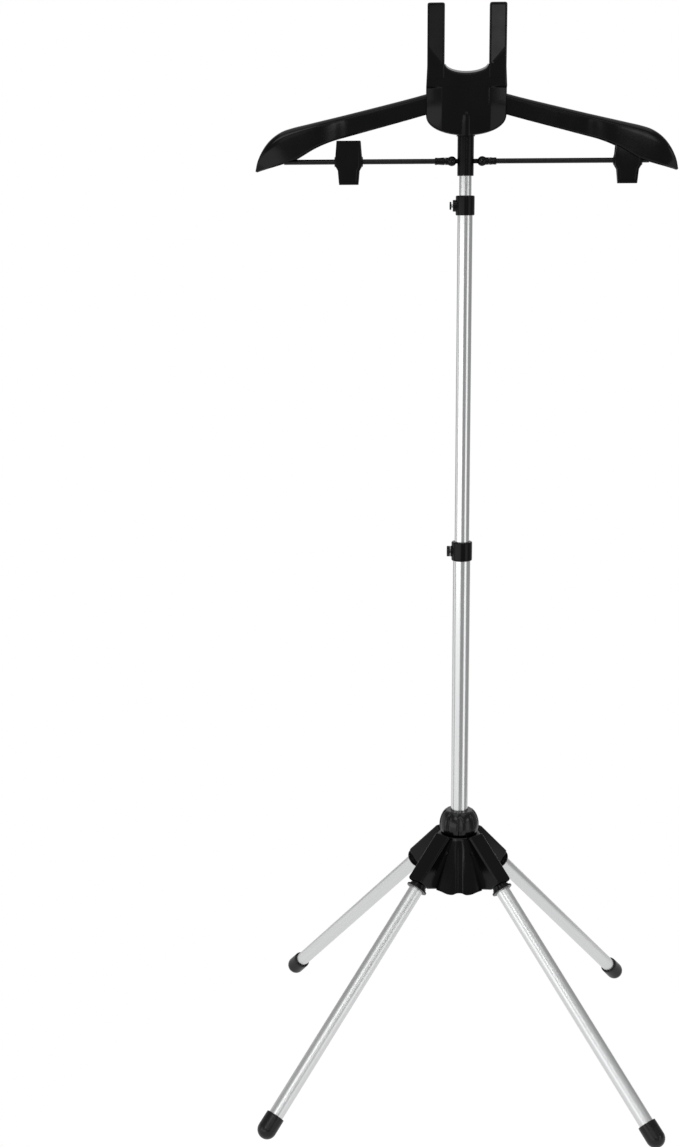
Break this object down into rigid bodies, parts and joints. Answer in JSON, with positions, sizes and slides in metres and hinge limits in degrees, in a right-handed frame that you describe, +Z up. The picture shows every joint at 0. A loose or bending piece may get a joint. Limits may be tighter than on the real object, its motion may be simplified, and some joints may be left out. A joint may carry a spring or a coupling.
{
  "type": "garment steamer stand",
  "caption": "Folding stand with a telescopic pole and a hanger head: a fork holds a hand steamer, arms carry a garment, and clips on thin rods hold trousers.",
  "frame": {"origin": "on the ground under the pole's axis, between the four feet", "axes": "+Z up along the pole, +X to the right arm, -Y to the front of the shield and fork"},
  "size_m": [0.44, 0.4254, 1.162],
  "materials": {
    "black_plastic": "satin black moulding",
    "inner_plastic": "matt dark guide plastic",
    "tube_aluminium": "satin drawn and anodised tube",
    "foot_rubber": "matt black rubber",
    "plated_steel": "zinc plated",
    "painted_rod": "black painted steel wire"
  },
  "bodies": {
    "stand": {"hub_body": "black_plastic", "hub_collet": "inner_plastic", "pole_plug": "inner_plastic", "lower_tube": "tube_aluminium", "lower_collar": "black_plastic", "leg_pin_front_right": "plated_steel", "leg_pin_back_right": "plated_steel", "leg_pin_back_left": "plated_steel", "leg_pin_front_left": "plated_steel"},
    "base_knob": {"hub_knob": "black_plastic"},
    "leg_front_right": {"leg_tube_front_right": "tube_aluminium", "leg_collar_front_right": "black_plastic", "foot_cap_front_right": "foot_rubber"},
    "leg_back_right": {"leg_tube_back_right": "tube_aluminium", "leg_collar_back_right": "black_plastic", "foot_cap_back_right": "foot_rubber"},
    "leg_back_left": {"leg_tube_back_left": "tube_aluminium", "leg_collar_back_left": "black_plastic", "foot_cap_back_left": "foot_rubber"},
    "leg_front_left": {"leg_tube_front_left": "tube_aluminium", "leg_collar_front_left": "black_plastic", "foot_cap_front_left": "foot_rubber"},
    "mid_pole": {"mid_tube": "tube_aluminium", "mid_tube_bush": "inner_plastic", "upper_collar": "black_plastic"},
    "top_pole": {"top_tube": "tube_aluminium", "top_tube_bush": "inner_plastic"},
    "lower_lock_pad": {"lower_lock_pad": "inner_plastic"},
    "lower_lock_knob": {"lower_lock_knob": "black_plastic", "lower_lock_screw": "plated_steel"},
    "upper_lock_pad": {"upper_lock_pad": "inner_plastic"},
    "upper_lock_knob": {"upper_lock_knob": "black_plastic", "upper_lock_screw": "plated_steel"},
    "head": {"head_front": "black_plastic", "head_rear": "black_plastic", "head_screw_lower": "plated_steel", "head_screw_upper": "plated_steel", "left_arm_pin": "plated_steel", "right_arm_pin": "plated_steel"},
    "left_arm": {"left_arm": "black_plastic"},
    "left_rod": {"left_rod": "painted_rod", "left_rod_ball": "black_plastic", "left_rod_sleeve": "black_plastic", "left_rod_pin": "plated_steel"},
    "left_clip_bush": {"left_clip_bush": "inner_plastic"},
    "left_clip_back": {"left_clip_back_jaw": "black_plastic", "left_clip_spring": "plated_steel"},
    "left_clip_front": {"left_clip_front_jaw": "black_plastic"},
    "right_arm": {"right_arm": "black_plastic"},
    "right_rod": {"right_rod": "painted_rod", "right_rod_ball": "black_plastic", "right_rod_sleeve": "black_plastic", "right_rod_pin": "plated_steel"},
    "right_clip_bush": {"right_clip_bush": "inner_plastic"},
    "right_clip_back": {"right_clip_back_jaw": "black_plastic", "right_clip_spring": "plated_steel"},
    "right_clip_front": {"right_clip_front_jaw": "black_plastic"}
  },
  "joints": [
    {"name": "base_knob_turn", "type": "hinge", "parent": "stand", "child": "base_knob", "pos_m": [0, 0, 0.28], "axis": [0, 0, 1], "range_deg": [0, 270]},
    {"name": "leg_fold_front_right", "type": "hinge", "parent": "stand", "child": "leg_front_right", "pos_m": [0.02121, -0.02121, 0.2528], "axis": [0.7071, 0.7071, 0], "range_deg": [0, 46.5]},
    {"name": "leg_fold_back_right", "type": "hinge", "parent": "stand", "child": "leg_back_right", "pos_m": [0.02121, 0.02121, 0.2528], "axis": [-0.7071, 0.7071, 0], "range_deg": [0, 46.5]},
    {"name": "leg_fold_back_left", "type": "hinge", "parent": "stand", "child": "leg_back_left", "pos_m": [-0.02121, 0.02121, 0.2528], "axis": [-0.7071, -0.7071, 0], "range_deg": [0, 46.5]},
    {"name": "leg_fold_front_left", "type": "hinge", "parent": "stand", "child": "leg_front_left", "pos_m": [-0.02121, -0.02121, 0.2528], "axis": [0.7071, -0.7071, 0], "range_deg": [0, 46.5]},
    {"name": "lower_lock_advance", "type": "slide", "parent": "stand", "child": "lower_lock_pad", "axis": [-1, 0, 0], "range_m": [0, 0.0012]},
    {"name": "lower_lock_turn", "type": "hinge", "parent": "lower_lock_pad", "child": "lower_lock_knob", "pos_m": [-0.013, 0, 0.591], "axis": [-1, 0, 0], "range_deg": [0, 542]},
    {"name": "mid_pole_slide", "type": "slide", "parent": "stand", "child": "mid_pole", "axis": [0, 0, 1], "range_m": [-0.335, 0]},
    {"name": "upper_lock_advance", "type": "slide", "parent": "mid_pole", "child": "upper_lock_pad", "axis": [-1, 0, 0], "range_m": [0, 0.0012]},
    {"name": "upper_lock_turn", "type": "hinge", "parent": "upper_lock_pad", "child": "upper_lock_knob", "pos_m": [-0.013, 0, 0.96], "axis": [-1, 0, 0], "range_deg": [0, 542]},
    {"name": "top_pole_slide", "type": "slide", "parent": "mid_pole", "child": "top_pole", "axis": [0, 0, 1], "range_m": [-0.018, 0.295]},
    {"name": "head_swivel", "type": "hinge", "parent": "top_pole", "child": "head", "pos_m": [0, 0, 1.01], "axis": [0, 0, 1], "continuous": true},
    {"name": "left_arm_fold", "type": "hinge", "parent": "head", "child": "left_arm", "pos_m": [-0.028, 0, 1.0665], "axis": [0, 1, 0], "range_deg": [0, 92]},
    {"name": "left_rod_fold", "type": "hinge", "parent": "head", "child": "left_rod", "pos_m": [-0.0143, 0, 1.0055], "axis": [0, -1, 0], "range_deg": [0, 75]},
    {"name": "left_clip_slide", "type": "slide", "parent": "left_rod", "child": "left_clip_bush", "axis": [-1, 0, 0], "range_m": [-0.074, 0.046]},
    {"name": "left_clip_swing", "type": "hinge", "parent": "left_clip_bush", "child": "left_clip_back", "pos_m": [-0.122, 0, 1.0055], "axis": [1, 0, 0], "range_deg": [-75, 75]},
    {"name": "left_clip_squeeze", "type": "hinge", "parent": "left_clip_back", "child": "left_clip_front", "pos_m": [-0.122, 0, 1.0055], "axis": [-1, 0, 0], "range_deg": [0, 20], "stiffness_Nm_per_rad": 0.12, "springref_deg": -20.05},
    {"name": "right_arm_fold", "type": "hinge", "parent": "head", "child": "right_arm", "pos_m": [0.028, 0, 1.0665], "axis": [0, -1, 0], "range_deg": [0, 92]},
    {"name": "right_rod_fold", "type": "hinge", "parent": "head", "child": "right_rod", "pos_m": [0.0172, 0, 1.0055], "axis": [0, 1, 0], "range_deg": [0, 75]},
    {"name": "right_clip_slide", "type": "slide", "parent": "right_rod", "child": "right_clip_bush", "axis": [1, 0, 0], "range_m": [-0.12, 0]},
    {"name": "right_clip_swing", "type": "hinge", "parent": "right_clip_bush", "child": "right_clip_back", "pos_m": [0.168, 0, 1.0055], "axis": [1, 0, 0], "range_deg": [-6, 6]},
    {"name": "right_clip_squeeze", "type": "hinge", "parent": "right_clip_back", "child": "right_clip_front", "pos_m": [0.168, 0, 1.0055], "axis": [-1, 0, 0], "range_deg": [0, 20], "stiffness_Nm_per_rad": 0.12, "springref_deg": -20.05}
  ],
  "couplings": [
    {"joint": "lower_lock_turn", "follows": "lower_lock_advance", "rad_per_m": 7854},
    {"joint": "upper_lock_turn", "follows": "upper_lock_advance", "rad_per_m": 7854}
  ]
}
